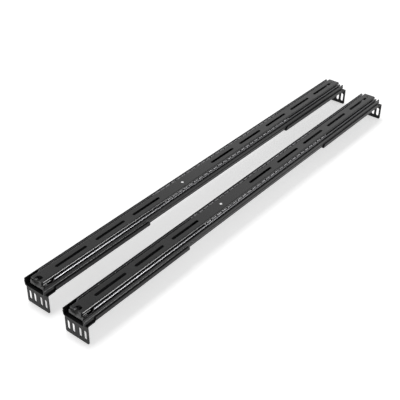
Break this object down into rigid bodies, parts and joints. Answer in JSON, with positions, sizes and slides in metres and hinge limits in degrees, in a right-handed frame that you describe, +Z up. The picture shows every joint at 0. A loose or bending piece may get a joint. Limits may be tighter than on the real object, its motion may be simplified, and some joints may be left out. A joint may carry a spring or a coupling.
{
  "type": "sliding server rail pair",
  "caption": "Pair of telescoping ball-bearing rails for a rack-mounted server, with slotted inner members and bent slotted ears at both ends.",
  "frame": {"origin": "on the floor that the ears stand on, under the middle of the pair", "axes": "+X from the left rail to the right one, +Y from the front ears to the rear ears along the rails, +Z up, out of the face that meets the server"},
  "size_m": [0.1292, 0.812, 0.0496],
  "materials": {
    "outer_steel": "satin black finish on cold-rolled steel",
    "bracket_steel": "satin black finish on sheet steel",
    "middle_steel": "plain bright steel",
    "inner_steel": "satin dark grey finish on cold-rolled steel",
    "cage_steel": "pressed steel",
    "ball_steel": "polished",
    "screw_steel": "zinc plated",
    "rivet_steel": "bright",
    "lever_steel": "spring steel",
    "stop_plastic": "moulded grey plastic",
    "bumper_rubber": "matt black"
  },
  "bodies": {
    "rails_fixed": {"left_outer_member": "outer_steel", "left_front_bracket": "bracket_steel", "left_front_bracket_screws": "screw_steel", "left_rear_bracket_screws": "screw_steel", "left_rear_bracket_washers": "screw_steel", "left_rear_bumper": "bumper_rubber", "right_outer_member": "outer_steel", "right_front_bracket": "bracket_steel", "right_front_bracket_screws": "screw_steel", "right_rear_bracket_screws": "screw_steel", "right_rear_bracket_washers": "screw_steel", "right_rear_bumper": "bumper_rubber"},
    "left_rear_ear": {"left_rear_bracket": "bracket_steel"},
    "left_outer_cage": {"left_outer_ball_cage": "cage_steel", "left_outer_balls": "ball_steel"},
    "left_middle": {"left_middle_member": "middle_steel", "left_front_stop": "stop_plastic", "left_front_stop_rivets": "rivet_steel"},
    "left_inner_cage": {"left_inner_ball_cage": "cage_steel", "left_inner_balls": "ball_steel"},
    "left_inner": {"left_inner_member": "inner_steel", "left_lever_rivet": "rivet_steel"},
    "left_lever": {"left_release_lever": "lever_steel"},
    "right_rear_ear": {"right_rear_bracket": "bracket_steel"},
    "right_outer_cage": {"right_outer_ball_cage": "cage_steel", "right_outer_balls": "ball_steel"},
    "right_middle": {"right_middle_member": "middle_steel", "right_front_stop": "stop_plastic", "right_front_stop_rivets": "rivet_steel"},
    "right_inner_cage": {"right_inner_ball_cage": "cage_steel", "right_inner_balls": "ball_steel"},
    "right_inner": {"right_inner_member": "inner_steel", "right_lever_rivet": "rivet_steel"},
    "right_lever": {"right_release_lever": "lever_steel"}
  },
  "joints": [
    {"name": "left_depth_adjust", "type": "slide", "parent": "rails_fixed", "child": "left_rear_ear", "axis": [0, 1, 0], "range_m": [0, 0.08]},
    {"name": "left_middle_slide", "type": "slide", "parent": "rails_fixed", "child": "left_middle", "axis": [0, -1, 0], "range_m": [0, 0.36]},
    {"name": "left_outer_cage_slide", "type": "slide", "parent": "rails_fixed", "child": "left_outer_cage", "axis": [0, -1, 0], "range_m": [0, 0.18]},
    {"name": "left_inner_slide", "type": "slide", "parent": "left_middle", "child": "left_inner", "axis": [0, -1, 0], "range_m": [0, 0.36]},
    {"name": "left_inner_cage_slide", "type": "slide", "parent": "left_middle", "child": "left_inner_cage", "axis": [0, -1, 0], "range_m": [0, 0.18]},
    {"name": "left_release", "type": "hinge", "parent": "left_inner", "child": "left_lever", "pos_m": [-0.0425, -0.079, 0.0473], "axis": [0, 0, 1], "range_deg": [0, 6], "stiffness_Nm_per_rad": 0.05},
    {"name": "right_depth_adjust", "type": "slide", "parent": "rails_fixed", "child": "right_rear_ear", "axis": [0, 1, 0], "range_m": [0, 0.08]},
    {"name": "right_middle_slide", "type": "slide", "parent": "rails_fixed", "child": "right_middle", "axis": [0, -1, 0], "range_m": [0, 0.36]},
    {"name": "right_outer_cage_slide", "type": "slide", "parent": "rails_fixed", "child": "right_outer_cage", "axis": [0, -1, 0], "range_m": [0, 0.18]},
    {"name": "right_inner_slide", "type": "slide", "parent": "right_middle", "child": "right_inner", "axis": [0, -1, 0], "range_m": [0, 0.36]},
    {"name": "right_inner_cage_slide", "type": "slide", "parent": "right_middle", "child": "right_inner_cage", "axis": [0, -1, 0], "range_m": [0, 0.18]},
    {"name": "right_release", "type": "hinge", "parent": "right_inner", "child": "right_lever", "pos_m": [0.0425, -0.087, 0.0473], "axis": [0, 0, 1], "range_deg": [0, 6], "stiffness_Nm_per_rad": 0.05}
  ],
  "couplings": [
    {"joint": "left_outer_cage_slide", "follows": "left_middle_slide", "ratio": 0.5},
    {"joint": "left_inner_cage_slide", "follows": "left_inner_slide", "ratio": 0.5},
    {"joint": "right_outer_cage_slide", "follows": "right_middle_slide", "ratio": 0.5},
    {"joint": "right_inner_cage_slide", "follows": "right_inner_slide", "ratio": 0.5}
  ]
}
